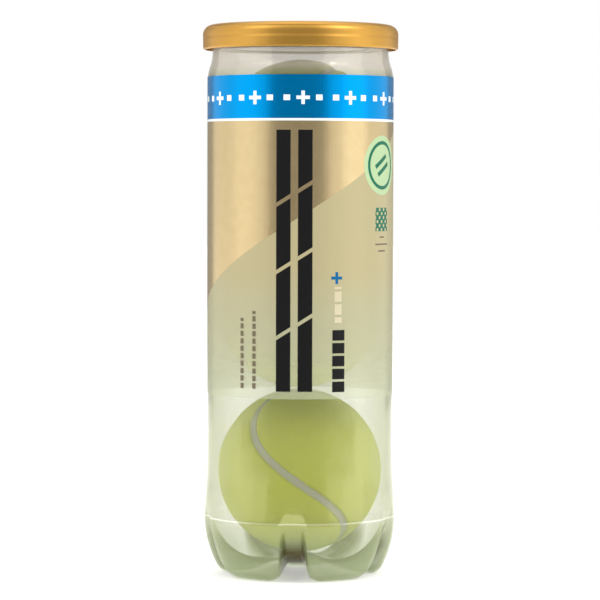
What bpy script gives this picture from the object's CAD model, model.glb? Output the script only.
from math import cos, pi, radians, sin, sqrt

import bmesh
import bpy
import numpy as np
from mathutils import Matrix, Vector


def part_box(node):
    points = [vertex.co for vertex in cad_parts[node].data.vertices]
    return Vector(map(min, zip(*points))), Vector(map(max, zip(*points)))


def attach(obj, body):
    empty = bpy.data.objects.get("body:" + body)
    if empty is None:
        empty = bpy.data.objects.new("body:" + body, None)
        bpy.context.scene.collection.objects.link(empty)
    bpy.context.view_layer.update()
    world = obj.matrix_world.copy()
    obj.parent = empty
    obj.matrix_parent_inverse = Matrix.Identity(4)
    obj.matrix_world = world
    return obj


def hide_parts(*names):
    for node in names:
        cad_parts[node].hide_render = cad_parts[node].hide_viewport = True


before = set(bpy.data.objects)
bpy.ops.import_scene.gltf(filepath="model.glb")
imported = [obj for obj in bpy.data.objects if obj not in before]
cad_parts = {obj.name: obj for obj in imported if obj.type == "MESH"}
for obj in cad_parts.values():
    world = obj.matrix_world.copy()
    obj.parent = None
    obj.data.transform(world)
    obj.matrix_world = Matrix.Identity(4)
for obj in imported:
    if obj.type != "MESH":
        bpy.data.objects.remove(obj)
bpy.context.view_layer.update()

# Lengths are millimetres in the shape functions and become metres when a mesh is made.
MM = 0.001

# ---- sizes taken from the frame ----
sleeve_low, sleeve_high = (Vector(c) * 1000 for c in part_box("label"))
SLEEVE_R, SLEEVE_Z0 = sleeve_high.x, sleeve_low.z
FLANGE_Z = (Vector(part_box("can_body")[1]) * 1000).z

# ---- bottle ----
WALL = 0.6
BODY_R, NECK_R = 36.7, 34.9
HUB_Z = 8.0
FOOT_STEP = 72
FOOT_ANGLES = [31.9 + FOOT_STEP * i for i in range(5)]
VALLEY_ANGLES = [angle + FOOT_STEP / 2 for angle in FOOT_ANGLES]
PARTING_Z = 23.4
BOTTLE_AROUND = 540

# ---- balls ----
BALL_R = 32.65
FELT_SINK, FELT_LUMP = 0.20, 0.16             # nap under the ball's size, and its unevenness
FELT_ROLL, FELT_DROP = 1.3, 0.95              # width and depth of the rolled edge beside the seam
SEAM_HALF, SEAM_DEPTH, SEAM_CROWN = 1.35, 0.75, 0.25
SEAM_WAVE = 0.25                              # how far the seam curve swings
SEAM_REACH = 0.27                             # net points this near the seam's edge move onto it
BALL_TURNS = [(2.3, -55.4, -92.1), (38, 24, 140), (-62, 31, 15)]

# ---- print: heights from the floor, distances round the film from the front towards +X ----
PRINT_EDGE = 0.18                             # softness of a printed edge
SPIRAL_RISE, GOLD_EDGE = 0.627, 142.7         # slope of the gold's lower edge, and its height in front
RULE_LOW, BAND_LOW = 179.7, 180.6             # white rule, then blue band
BAND_ROW = 188.6                              # middle of the row of plus signs
FADE_HEIGHT = 50.0                            # the milky zone thickens over this height
BAR_LOW, BAR_HIGH = 74.9, 176.2               # tall dark bars
BAR_CUTS = (101.5, 127.0, 153.0)              # slanted gaps in them, along the spiral
STICKER_U, STICKER_Z, STICKER_R = 38.8, 162.6, 11.6


# ------------------------------------------------------------------ shader maths

class Tone:
    """A shader socket that takes part in arithmetic."""

    def __init__(self, finish, socket):
        self.finish, self.socket = finish, socket

    def _math(self, operation, *values):
        return self.finish.math(operation, *values)

    def __add__(self, other):
        return self._math("ADD", self, other)

    def __sub__(self, other):
        return self._math("SUBTRACT", self, other)

    def __rsub__(self, other):
        return self._math("SUBTRACT", other, self)

    def __mul__(self, other):
        return self._math("MULTIPLY", self, other)

    def __truediv__(self, other):
        return self._math("DIVIDE", self, other)

    def __neg__(self):
        return self._math("MULTIPLY", self, -1.0)

    def __abs__(self):
        return self._math("ABSOLUTE", self)

    def __pow__(self, other):
        return self._math("POWER", self, other)

    __radd__, __rmul__ = __add__, __mul__


class Finish:
    """A procedural material on one Principled shader."""

    def __init__(self, name):
        self.material = bpy.data.materials.new(name)
        self.material.use_nodes = True
        self.tree = self.material.node_tree
        self.tree.nodes.clear()

    def node(self, kind, settings=None, sockets=None, output=0):
        made = self.tree.nodes.new(kind)
        for key, value in (settings or {}).items():
            setattr(made, key, value)
        for key, value in (sockets or {}).items():
            if isinstance(value, Tone):
                self.tree.links.new(value.socket, made.inputs[key])
            else:
                made.inputs[key].default_value = value
        return Tone(self, made.outputs[output]) if len(made.outputs) else None

    def math(self, operation, *values):
        return self.node("ShaderNodeMath", {"operation": operation}, dict(enumerate(values)))

    def clamp(self, value):
        return self.node("ShaderNodeClamp", {}, {0: value})

    def above(self, value, edge, soft):
        """0 where value is under edge, 1 over it, with a ramp soft wide."""
        return self.clamp((value - edge) / soft + 0.5)

    def between(self, value, low, high, soft):
        return self.above(value, low, soft) * (1.0 - self.above(value, high, soft))

    def either(self, *masks):
        total = masks[0]
        for mask in masks[1:]:
            total = self.math("MAXIMUM", total, mask)
        return total

    def mix(self, factor, first, second):
        """Colour first where factor is 0 and second where it is 1."""
        return self.node("ShaderNodeMix", {"data_type": "RGBA"}, {0: factor, 6: first, 7: second}, 2)

    def repeated(self, value, pitch):
        """Distance from the nearest of a row of places one pitch apart."""
        return self.math("FLOORED_MODULO", value + pitch / 2, pitch) - pitch / 2

    def place(self):
        """The point on the piece in millimetres, as a vector."""
        point = self.node("ShaderNodeTexCoord", output=3)
        return self.node("ShaderNodeVectorMath", {"operation": "SCALE"}, {0: point, 3: 1000.0})

    def parts(self, vector):
        first = self.node("ShaderNodeSeparateXYZ", {}, {0: vector})
        return [Tone(self, output) for output in first.socket.node.outputs]

    def stretched(self, vector, x, y, z):
        return self.node("ShaderNodeVectorMath", {"operation": "MULTIPLY"}, {0: vector, 1: (x, y, z)})

    def noise(self, vector, scale, detail=3.0, rough=0.5):
        return self.node("ShaderNodeTexNoise", {},
                         {"Vector": vector, "Scale": scale, "Detail": detail, "Roughness": rough})

    def bump(self, height, distance):
        return self.node("ShaderNodeBump", {}, {"Height": height, "Distance": distance, "Strength": 1.0})

    def shade(self, **sockets):
        """Finishes the material. Socket names are given with _ for a space."""
        named = {key.replace("_", " "): value for key, value in sockets.items()}
        shader = self.node("ShaderNodeBsdfPrincipled", {}, named)
        self.node("ShaderNodeOutputMaterial", {}, {0: shader})
        return self.material


def rgb(red, green, blue):
    return (red, green, blue, 1.0)


# ------------------------------------------------------------------ finishes

def clear_bottle_finish():
    """Thin gloss walls: mostly see-through, with a reflection that grows towards the outline."""
    f = Finish("clear_bottle")
    point = f.place()
    x, y, z = f.parts(point)
    radius = (x * x + y * y) ** 0.5
    facing = f.node("ShaderNodeLayerWeight", {}, {"Blend": 0.5}, 1)
    waves = f.noise(f.stretched(point, 1.0, 1.0, 0.35), 0.10, 2.0)
    haze = f.noise(point, 0.06, 2.0)
    neck = f.above(z, 199.0, 4.0)
    feet = 1.0 - f.above(z, 19.0, 10.0)
    turn = f.repeated(f.math("ARCTAN2", x, -y) - radians(VALLEY_ANGLES[0]), radians(FOOT_STEP))
    hub = (1.0 - f.above(abs(turn * radius), 4.6, 1.6)) * (1.0 - f.above(z, 15.0, 7.0))
    parting = f.between(z, PARTING_Z - 0.3, PARTING_Z + 0.3, 0.3) * f.above(radius, 36.0, 1.0)
    tint = f.mix(haze, rgb(0.50, 0.53, 0.31), rgb(0.57, 0.58, 0.37))
    tint = f.mix(neck, tint, rgb(0.78, 0.71, 0.59))
    tint = f.mix(feet, tint, rgb(0.44, 0.50, 0.28))
    tint = f.mix(hub, tint, rgb(0.09, 0.075, 0.015))
    tint = f.mix(parting, tint, rgb(0.92, 0.94, 0.82))
    cover = 0.20 + (facing ** 2.2) * 0.55 + haze * 0.03
    cover = cover + neck * 0.08 + feet * 0.08 + hub * 0.65 + parting * 0.05
    return f.shade(Base_Color=tint, Metallic=0.75 - neck * 0.30 - feet * 0.35,
                   Roughness=0.12 + haze * 0.08, Alpha=f.clamp(cover), IOR=1.57,
                   Normal=f.bump(waves, 0.5 * MM))


def sleeve_finish():
    """Printed film: blue band, gold above a spiral edge, and a milky zone that clears downwards."""
    f = Finish("sleeve_film")
    point = f.place()
    x, y, z = f.parts(point)
    around = f.math("ARCTAN2", x, -y) * SLEEVE_R
    spiral = z - around * SPIRAL_RISE

    def bar(middle, width, low, high):
        sides = f.between(around, middle - width / 2, middle + width / 2, PRINT_EDGE)
        return sides * f.between(z, low, high, PRINT_EDGE)

    def plus(across, along, size):
        arm, reach = size * 0.13, size / 2
        upright = f.between(across, -arm, arm, 0.15) * f.between(along, -reach, reach, 0.15)
        level = f.between(along, -arm, arm, 0.15) * f.between(across, -reach, reach, 0.15)
        return f.either(upright, level)

    def gaps(height, pitch, half):
        return f.between(abs(f.repeated(height, pitch)), -1.0, half, 0.15)

    # fields
    gold = f.above(spiral, GOLD_EDGE, 0.25)
    band = f.above(z, BAND_LOW, 0.2)
    rule = f.between(z, RULE_LOW, BAND_LOW, 0.2)
    fade = f.clamp((z - SLEEVE_Z0) / FADE_HEIGHT)

    # row of plus signs and dashes in the band, twelve round the can
    along_row, up_row = f.repeated(around - 1.0, 2 * pi * SLEEVE_R / 12), z - BAND_ROW
    dashes = f.between(abs(along_row), 5.0, 7.6, 0.15) * f.between(abs(up_row), -1.0, 1.1, 0.15)
    white_ink = f.either(rule, band * f.either(plus(along_row, up_row, 5.2), dashes))

    # plain bars and blocks
    cuts = f.either(*[f.between(spiral, cut - 0.8, cut + 0.8, 0.2) for cut in BAR_CUTS])
    slot = f.between(around, -3.7, -0.9, PRINT_EDGE)
    tall_bars = bar(-2.3, 14.2, BAR_LOW, BAR_HIGH) * (1.0 - f.either(cuts, slot))
    block_gaps = gaps(z - 74.2, 5.0, 0.45)
    dark_blocks = bar(15.4, 5.2, 74.3, 99.2) * (1.0 - block_gaps)
    pale_blocks = bar(15.2, 3.0, 101.5, 115.5) * (1.0 - block_gaps)
    small_blocks = f.either(bar(-24.2, 1.5, 75.4, 103.2), bar(-18.6, 1.5, 75.4, 106.0))
    small_blocks = small_blocks * (1.0 - gaps(z, 2.9, 0.4))
    blue_plus = plus(around - 14.6, z - 118.9, 4.6)

    # round sticker, plain grid and three short rules at the right
    off_u, off_z = around - STICKER_U, z - STICKER_Z
    reach = (off_u * off_u + off_z * off_z) ** 0.5
    disc = 1.0 - f.above(reach, STICKER_R, 0.2)
    ring = f.between(reach, 8.1, 9.5, 0.2)
    slant_u, slant_z = off_u * 0.87 + off_z * 0.5, abs(off_z * 0.87 - off_u * 0.5)
    strokes = f.between(slant_u, -4.6, 4.6, 0.2) * f.between(slant_z, 0.9, 2.6, 0.2)
    tile = bar(38.7, 9.4, 136.8, 146.0)
    cells = f.above(f.math("SINE", around * 2.0) * f.math("SINE", z * 2.0), -0.3, 0.2)
    notes = f.either(*[bar(38.7, wide, low, low + 0.6)
                       for wide, low in ((3.4, 134.2), (9.6, 131.4), (5.4, 128.8))])

    mottle = f.noise(point, 0.25, 3.0)
    drawn = f.noise(f.stretched(point, 1.0, 1.0, 0.02), 1.6, 3.0)
    gold_ink = f.mix(mottle, rgb(0.60, 0.46, 0.235), rgb(0.67, 0.525, 0.29))
    milky = f.mix(fade, rgb(0.72, 0.75, 0.52), rgb(0.48, 0.42, 0.235))
    colour = f.mix(gold, milky, gold_ink)
    for mask, ink in ((f.either(tall_bars, dark_blocks), rgb(0.008, 0.008, 0.008)),
                      (pale_blocks * 0.7, rgb(0.64, 0.56, 0.39)),
                      (f.either(small_blocks, notes), rgb(0.16, 0.13, 0.08)),
                      (blue_plus, rgb(0.0, 0.12, 0.29)),
                      (disc, rgb(0.43, 0.58, 0.32)),
                      (f.either(ring, strokes, tile * cells), rgb(0.005, 0.14, 0.075)),
                      (band, rgb(0.0, 0.32, 0.76)),
                      (white_ink, rgb(0.88, 0.93, 0.95))):
        colour = f.mix(mask, colour, ink)

    inked = f.either(tall_bars, dark_blocks, disc, tile, blue_plus, small_blocks, pale_blocks)
    shine = f.either(gold, band) * (1.0 - f.either(inked, white_ink))
    solid = f.either(gold, band, inked, rule)
    return f.shade(Base_Color=colour, Metallic=0.12 + shine * 0.80,
                   Roughness=0.22 + drawn * 0.06 + inked * 0.1, Specular_IOR_Level=0.25, IOR=1.45,
                   Alpha=f.math("MAXIMUM", 0.22 + fade * 0.70, solid), Normal=f.bump(drawn, 0.02 * MM))


def overcap_finish():
    f = Finish("satin_gold_overcap")
    point = f.place()
    x, y, z = f.parts(point)
    grain = f.noise(point, 6.0, 3.0, 0.6)
    flow = f.noise(f.stretched(point, 1.0, 1.0, 0.3), 0.12, 3.0)
    ledge = f.above(z, 212.6, 1.0) * f.above((x * x + y * y) ** 0.5, 38.0, 0.2)
    colour = f.mix(flow, rgb(0.56, 0.29, 0.045), rgb(0.64, 0.35, 0.07))
    return f.shade(Base_Color=colour, Metallic=0.80, Roughness=0.30 + flow * 0.08,
                   Normal=f.bump(grain * 0.04 - ledge, 0.3 * MM))


def end_metal_finish():
    """Rolled sheet, with its grain along X and fine rings from the press tool."""
    f = Finish("rolled_end_metal")
    point = f.place()
    x, y, z = f.parts(point)
    rolled = f.noise(f.stretched(point, 0.05, 1.0, 1.0), 5.0, 4.0, 0.6)
    radius = (x * x + y * y) ** 0.5
    rings = f.math("SINE", radius * 9.0)
    marks = f.noise(point, 0.35, 4.0)
    colour = f.mix(marks, rgb(0.70, 0.71, 0.72), rgb(0.86, 0.86, 0.85))
    return f.shade(Base_Color=colour, Metallic=1.0, Roughness=0.20 + rolled * 0.22,
                   Normal=f.bump(rolled + rings * 0.25, 0.02 * MM))


def compound_finish():
    f = Finish("sealing_compound")
    grain = f.noise(f.place(), 3.0, 3.0)
    colour = f.mix(grain, rgb(0.16, 0.16, 0.17), rgb(0.26, 0.26, 0.27))
    return f.shade(Base_Color=colour, Roughness=0.7, Normal=f.bump(grain, 0.05 * MM))


def core_finish():
    f = Finish("moulded_core_rubber")
    point = f.place()
    grain, bloom = f.noise(point, 4.0, 4.0), f.noise(point, 0.3, 2.0)
    colour = f.mix(bloom, rgb(0.028, 0.028, 0.030), rgb(0.075, 0.073, 0.070))
    return f.shade(Base_Color=colour, Roughness=0.55 + bloom * 0.2, Normal=f.bump(grain, 0.06 * MM))


def felt_finish():
    """Brushed nap: clumps, crossing fibres and a pale sheen."""
    f = Finish("ball_felt")
    point = f.place()
    clumps = f.noise(point, 0.22, 4.0, 0.6)
    curl = f.node("ShaderNodeTexNoise", {}, {"Vector": point, "Scale": 1.4, "Detail": 2.0}, 1)
    bent = f.node("ShaderNodeVectorMath", {"operation": "ADD"},
                  {0: point, 1: f.node("ShaderNodeVectorMath", {"operation": "SCALE"}, {0: curl, 3: 1.6})})
    fibres = f.noise(f.stretched(bent, 3.2, 0.7, 1.2), 1.5, 4.0, 0.65)
    crossing = f.noise(f.stretched(bent, 0.7, 1.1, 3.4), 1.5, 4.0, 0.65)
    nap = fibres * 0.5 + crossing * 0.5
    colour = f.mix(f.clamp((nap - 0.35) * 3.0), rgb(0.72, 0.78, 0.04), rgb(0.92, 0.97, 0.12))
    colour = f.mix(clumps * 0.35, colour, rgb(0.80, 0.89, 0.07))
    return f.shade(Base_Color=colour, Roughness=1.0, Sheen_Weight=0.2, Sheen_Roughness=0.45,
                   Sheen_Tint=rgb(0.92, 1.0, 0.70), Specular_IOR_Level=0.1,
                   Normal=f.bump(nap + clumps * 0.6, 0.9 * MM))


def seam_finish():
    f = Finish("ball_seam_rubber")
    point = f.place()
    grain = f.noise(point, 1.2, 4.0)
    colour = f.mix(grain, rgb(0.42, 0.42, 0.32), rgb(0.58, 0.58, 0.46))
    return f.shade(Base_Color=colour, Roughness=0.62, Normal=f.bump(grain, 0.12 * MM))


def floor_finish():
    f = Finish("pale_floor")
    speck = f.noise(f.place(), 0.01, 2.0)
    colour = f.mix(speck, rgb(0.90, 0.90, 0.90), rgb(0.92, 0.92, 0.92))
    return f.shade(Base_Color=colour, Roughness=0.75, Emission_Color=rgb(1.0, 1.0, 1.0),
                   Emission_Strength=0.35)


def card_finish():
    f = Finish("dark_card")
    grain = f.noise(f.place(), 0.02, 2.0)
    return f.shade(Base_Color=f.mix(grain, rgb(0.24, 0.24, 0.24), rgb(0.30, 0.30, 0.30)), Roughness=1.0)


# ------------------------------------------------------------------ mesh helpers

def mesh_object(name, points, faces, material):
    """A smooth-shaded mesh from points in millimetres."""
    mesh = bpy.data.meshes.new(name)
    mesh.from_pydata((np.asarray(points) * MM).tolist(), [], [list(face) for face in faces])
    mesh.shade_smooth()
    mesh.materials.append(material)
    made = bpy.data.objects.new(name, mesh)
    bpy.context.scene.collection.objects.link(made)
    return made


def sheet_object(name, corners, material):
    """A flat four-cornered sheet for the studio, in metres."""
    mesh = bpy.data.meshes.new(name)
    mesh.from_pydata(corners, [], [(0, 1, 2, 3)])
    mesh.materials.append(material)
    made = bpy.data.objects.new(name, mesh)
    bpy.context.scene.collection.objects.link(made)
    return made


def smooth_run(points, per_span):
    """Catmull-Rom points through a list, per_span to each span, with the last point."""
    points = np.array(points, dtype=float)
    padded = np.vstack([2 * points[0] - points[1], points, 2 * points[-1] - points[-2]])
    out = []
    for i in range(len(points) - 1):
        p0, p1, p2, p3 = padded[i:i + 4]
        for k in range(per_span):
            t = k / per_span
            out.append(0.5 * (2 * p1 + (p2 - p0) * t + (2 * p0 - 5 * p1 + 4 * p2 - p3) * t ** 2
                              + (3 * p1 - p0 - 3 * p2 + p3) * t ** 3))
    out.append(points[-1])
    return np.array(out)


def smoothstep(value):
    value = np.clip(value, 0.0, 1.0)
    return value * value * (3 - 2 * value)


def ring_faces(rows, around):
    """Quads between neighbouring closed rings of points."""
    faces = []
    for i in range(rows - 1):
        low, high = i * around, (i + 1) * around
        for j in range(around):
            k = (j + 1) % around
            faces.append((low + j, low + k, high + k, high + j))
    return faces


# ------------------------------------------------------------------ bottle

def foot_and_strap_rows():
    """Two matching outlines from the hub to the straight wall: over a foot and along a strap."""
    foot = [(0.6, HUB_Z), (5, 7.9), (9, 7.2), (13, 5.0), (17, 2.2), (20, 0.6), (22.5, 0.05), (25.5, 0.02),
            (28.5, 0.05), (30.6, 0.7), (32.4, 2.1), (34.0, 4.9), (35.6, 8.9), (37.2, 14.6), (38.03, 22),
            (37.6, 31), (36.95, 40), (BODY_R, 50)]
    strap = [(0.6, HUB_Z), (5, 7.4), (9, 6.4), (13, 5.8), (17, 5.9), (20, 6.4), (22.5, 7.2), (25.5, 8.7),
             (28.5, 10.8), (30.6, 12.7), (32.3, 14.7), (33.8, 16.9), (35.2, 19.3), (36.6, 22.4), (37.6, 26.6),
             (37.55, 32), (36.95, 40), (BODY_R, 50)]
    return smooth_run(foot, 6), smooth_run(strap, 6)


def foot_share(radii, turn):
    """How much of the foot, and how little of the strap, the wall takes at each radius and angle."""
    valleys = np.radians(np.array(VALLEY_ANGLES))
    apart = np.abs((turn[:, None] - valleys[None, :] + pi) % (2 * pi) - pi).min(axis=1)
    aside = radii[:, None] * np.sin(np.minimum(apart, pi / 2))[None, :]
    steep = smoothstep((aside - 2.7) / 3.4)
    gentle = np.clip((aside - 4.6) / 6.0, 0, 1)
    return 0.74 * steep + 0.26 * (1 - (1 - gentle) ** 2)


def bottle_outer(turn):
    """Rings of points over the outside of the bottle, from the hub up to the neck."""
    foot, strap = foot_and_strap_rows()
    wall = [(BODY_R, z) for z in range(56, 196, 10)]
    shoulder = smooth_run([(BODY_R, 197.0), (36.62, 198.4), (36.15, 200.6), (35.3, 203.3), (34.95, 205.2),
                           (NECK_R, 206.6)], 4)
    neck = [(NECK_R, 209), (NECK_R, FLANGE_Z - 2.8)]
    upper = np.array(wall + shoulder.tolist() + neck)

    share = foot_share(foot[:, 0], turn)
    base = strap[:, None, :] + share[..., None] * (foot - strap)[:, None, :]
    base[..., 1] = np.maximum(base[..., 1], 0.0)
    above = np.repeat(upper[:, None, :], BOTTLE_AROUND, axis=1)
    outline = np.concatenate([base, above], axis=0)
    radius, height = outline[..., 0].copy(), outline[..., 1]

    # parting lines of the mould: one round the feet, and one up each side
    share = np.concatenate([share, np.ones(above.shape[:2])], axis=0)
    radius += 0.07 * np.exp(-((height - PARTING_Z) / 0.28) ** 2) * (height > 18) * share
    for side in (pi / 2, 3 * pi / 2):
        near = np.exp(-((turn - side) * BODY_R / 0.45) ** 2)
        radius += 0.10 * near[None, :] * ((height > 20) & (height < 206))
    return np.stack([radius * np.sin(turn), -radius * np.cos(turn), height], axis=-1)


def bottle():
    """Blown shell: five rounded feet, straps between them, straight wall, shoulder, neck and flange."""
    turn = np.linspace(0, 2 * pi, BOTTLE_AROUND, endpoint=False)
    outer = bottle_outer(turn)
    along = np.gradient(outer, axis=0)
    across = (np.roll(outer, -1, axis=1) - np.roll(outer, 1, axis=1)) / 2
    normal = np.cross(across, along)
    normal /= np.maximum(np.linalg.norm(normal, axis=-1, keepdims=True), 1e-9)
    inner = outer - WALL * normal

    lip = [(35.1, FLANGE_Z - 1.5), (35.7, FLANGE_Z - 0.85), (36.1, FLANGE_Z - 0.68), (36.2, FLANGE_Z - 0.4),
           (36.1, FLANGE_Z - 0.05), (35.8, FLANGE_Z), (34.6, FLANGE_Z), (34.35, FLANGE_Z - 0.2)]
    flange = np.array([[(r * sin(t), -r * cos(t), z) for t in turn] for r, z in lip])
    rings = np.concatenate([outer, flange, inner[::-1]], axis=0)
    points = rings.reshape(-1, 3)
    faces = ring_faces(len(rings), BOTTLE_AROUND)
    hub_outer, hub_inner = len(points), len(points) + 1
    last = (len(rings) - 1) * BOTTLE_AROUND
    for j in range(BOTTLE_AROUND):
        k = (j + 1) % BOTTLE_AROUND
        faces.append((hub_outer, k, j))
        faces.append((hub_inner, last + j, last + k))
    points = np.vstack([points, [0, 0, HUB_Z - 0.35], [0, 0, HUB_Z + WALL]])
    made = mesh_object("bottle", points, faces, clear_bottle_finish())
    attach(made, "can")
    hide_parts("can_body")


# ------------------------------------------------------------------ balls

def seam_track(count):
    """Unit vectors along the seam curve and, at each, the way across it."""
    u = np.linspace(0, 2 * pi, count, endpoint=False)
    a, b = 1 - SEAM_WAVE, SEAM_WAVE
    line = np.stack([a * np.cos(u) + b * np.cos(3 * u), a * np.sin(u) - b * np.sin(3 * u),
                     2 * sqrt(a * b) * np.sin(2 * u)], axis=-1)
    line /= np.linalg.norm(line, axis=1, keepdims=True)
    ahead = np.roll(line, -1, axis=0) - np.roll(line, 1, axis=0)
    across = np.cross(line, ahead)
    across /= np.linalg.norm(across, axis=1, keepdims=True)
    return line, across


def turn_matrix(angles):
    """Rotation by the three angles about the ball's own X, Y and Z axes in turn."""
    a, b, c = (radians(v) for v in angles)
    about_x = np.array([[1, 0, 0], [0, cos(a), -sin(a)], [0, sin(a), cos(a)]])
    about_y = np.array([[cos(b), 0, sin(b)], [0, 1, 0], [-sin(b), 0, cos(b)]])
    about_z = np.array([[cos(c), -sin(c), 0], [sin(c), cos(c), 0], [0, 0, 1]])
    return about_x @ about_y @ about_z


def sphere_net(level):
    """Unit sphere of near-even triangles."""
    scratch = bpy.data.meshes.new("net")
    work = bmesh.new()
    bmesh.ops.create_icosphere(work, subdivisions=level, radius=1.0)
    work.to_mesh(scratch)
    work.free()
    points = np.array([v.co for v in scratch.vertices], dtype=float)
    faces = np.array([p.vertices[:] for p in scratch.polygons])
    bpy.data.meshes.remove(scratch)
    return points / np.linalg.norm(points, axis=1, keepdims=True), faces


def lumps(points, seed):
    """Smooth unevenness over a sphere, about -1 to 1."""
    draw = np.random.default_rng(seed)
    total = np.zeros(len(points))
    for scale, weight in ((9, 0.5), (19, 0.3), (41, 0.2)):
        for _ in range(6):
            way = draw.normal(size=3)
            way /= np.linalg.norm(way)
            total += weight * np.sin(scale * points @ way + draw.uniform(0, 2 * pi)) / 2.4
    return total


def seam_offsets(points):
    """Signed distance of each point of a unit net from the seam's middle, and the way across there."""
    line, across = seam_track(1440)
    side, way = np.empty(len(points)), np.empty_like(points)
    batch = 8192
    for start in range(0, len(points), batch):
        block = points[start:start + batch]
        closeness = block @ line.T
        nearest = closeness.argmax(axis=1)
        sign = np.sign((block * across[nearest]).sum(axis=1))
        gap = np.arccos(np.clip(closeness[np.arange(len(block)), nearest], -1, 1))
        side[start:start + batch] = sign * gap * BALL_R
        way[start:start + batch] = across[nearest]
    return side, way


def ball_shapes():
    """Points and faces of the two felt panels and the seam of one ball, centred on the origin."""
    points, faces = sphere_net(7)
    side, way = seam_offsets(points)
    off = np.abs(side) - SEAM_HALF
    moved = np.abs(off) < SEAM_REACH
    points[moved] -= (way * (np.sign(side) * off / BALL_R)[:, None])[moved]
    points /= np.linalg.norm(points, axis=1, keepdims=True)
    side[moved] = np.sign(side[moved]) * SEAM_HALF

    middle = side[faces].mean(axis=1)
    roll = np.clip((np.abs(side) - SEAM_HALF) / FELT_ROLL, 0, 1)
    nap = (BALL_R - FELT_SINK - FELT_DROP * (1 - np.sqrt(1 - (1 - roll) ** 2))
           + FELT_LUMP * lumps(points, 3))
    crown = np.minimum(np.abs(side) / SEAM_HALF, 1) ** 2
    cement = BALL_R - SEAM_DEPTH - SEAM_CROWN * (1 - crown)
    shapes = {}
    for name, chosen, radius in (("felt_a", middle > SEAM_HALF, nap), ("felt_b", middle < -SEAM_HALF, nap),
                                 ("seam", np.abs(middle) <= SEAM_HALF, cement)):
        used, renumbered = np.unique(faces[chosen], return_inverse=True)
        shapes[name] = (points[used] * radius[used, None], renumbered.reshape(-1, 3))
    return shapes


def balls():
    """Felt panels and seams of the three balls, each set about the middle of its cores."""
    shapes = ball_shapes()
    felt, seam = felt_finish(), seam_finish()
    for number, angles in enumerate(BALL_TURNS, 1):
        low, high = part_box(f"ball_{number}_core_lower"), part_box(f"ball_{number}_core_upper")
        middle = (min(low[0][2], high[0][2]) + max(low[1][2], high[1][2])) * 500
        turning = turn_matrix(angles)
        for name, (points, faces) in shapes.items():
            placed = points @ turning.T + np.array([0, 0, middle])
            made = mesh_object(f"ball_{number}_{name}_nap", placed, faces, seam if name == "seam" else felt)
            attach(made, f"ball_{number}")
            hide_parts(f"ball_{number}_{name}")
            "seam_rubber" if name == "seam" else "felt"


# ------------------------------------------------------------------ carried-over nodes

def dress_frame_nodes():
    """Gives the pieces whose CAD shape is kept their finishes."""
    metal, core = end_metal_finish(), core_finish()
    finishes = {"label": sleeve_finish(), "overcap": overcap_finish(), "end_ring": metal,
                "tear_panel": metal, "pull_tab": metal, "seam_gasket": compound_finish()}
    for number in (1, 2, 3):
        for half in ("lower", "upper"):
            finishes[f"ball_{number}_core_{half}"] = core
    for node, material in finishes.items():
        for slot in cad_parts[node].material_slots:
            slot.material = material


# ------------------------------------------------------------------ studio

def flag(name, centre, size, material, tilt=0.0):
    """Flat dark sheet that faces the can's axis and shows only in reflections."""
    wide, high = size[0] / 2, size[1] / 2
    corners = [(-wide, 0, -high), (wide, 0, -high), (wide, 0, high), (-wide, 0, high)]
    made = sheet_object(name, corners, material)
    made.location = centre
    made.rotation_euler = (radians(tilt), 0, Vector(centre[:2]).angle_signed(Vector((0, 1))))
    made.visible_camera = made.visible_diffuse = False
    made.visible_shadow = made.visible_transmission = False


def around_axis(angle, distance, height):
    """A place at an angle from the front, towards +X."""
    return (distance * sin(radians(angle)), -distance * cos(radians(angle)), height)


def area_light(name, place, size, power, aim=(0, 0, 0.11)):
    data = bpy.data.lights.new(name, "AREA")
    data.shape, data.size, data.size_y, data.energy = "RECTANGLE", size[0], size[1], power
    made = bpy.data.objects.new(name, data)
    made.location = place
    made.rotation_euler = (Vector(aim) - Vector(place)).to_track_quat("-Z", "Y").to_euler()
    made.visible_camera = False
    bpy.context.scene.collection.objects.link(made)


def studio():
    """Pale floor, white surroundings, soft lights, and dark flags that shape the reflections."""
    floor = sheet_object("floor", [(-6, -6, 0), (6, -6, 0), (6, 6, 0), (-6, 6, 0)], floor_finish())

    world = bpy.data.worlds.new("studio")
    world.use_nodes = True
    backdrop = world.node_tree.nodes["Background"]
    backdrop.inputs["Color"].default_value = rgb(1.0, 1.0, 1.0)
    backdrop.inputs["Strength"].default_value = 1.0
    bpy.context.scene.world = world
    bpy.context.scene.view_settings.view_transform = "Standard"

    dark = card_finish()
    flag("front_flag", around_axis(-3, 1.7, 0.5), (2.5, 2.2), dark)
    flag("floor_flag", around_axis(-3, 0.9, 0.002), (1.3, 1.5), dark, tilt=90)
    for side, power in ((-1, 0.6), (1, 1.2)):
        flag("rear_flag", around_axis(152 * side, 1.0, 0.4), (0.65, 1.6), dark)
        area_light("side_softbox", around_axis(70 * side, 0.95, 0.35), (0.6, 1.3), power)
        area_light("high_softbox", around_axis(58 * side, 0.8, 1.0), (0.5, 0.4), 2.2 * power)
    area_light("top_softbox", (0, 0.25, 1.2), (0.9, 0.7), 1.2)


def camera():
    data = bpy.data.cameras.new("camera")
    data.lens, data.sensor_width, data.clip_end = 180.9, 36.0, 50.0      # a long lens, close to level
    made = bpy.data.objects.new("camera", data)
    made.location = (0.0, -1.2, 0.157)
    made.rotation_euler = (Vector((0, 0, 0.109)) - made.location).to_track_quat("-Z", "Y").to_euler()
    made.rotation_euler.rotate_axis("Z", radians(0.15))
    bpy.context.scene.collection.objects.link(made)
    bpy.context.scene.camera = made


bottle()
balls()
dress_frame_nodes()
studio()
camera()
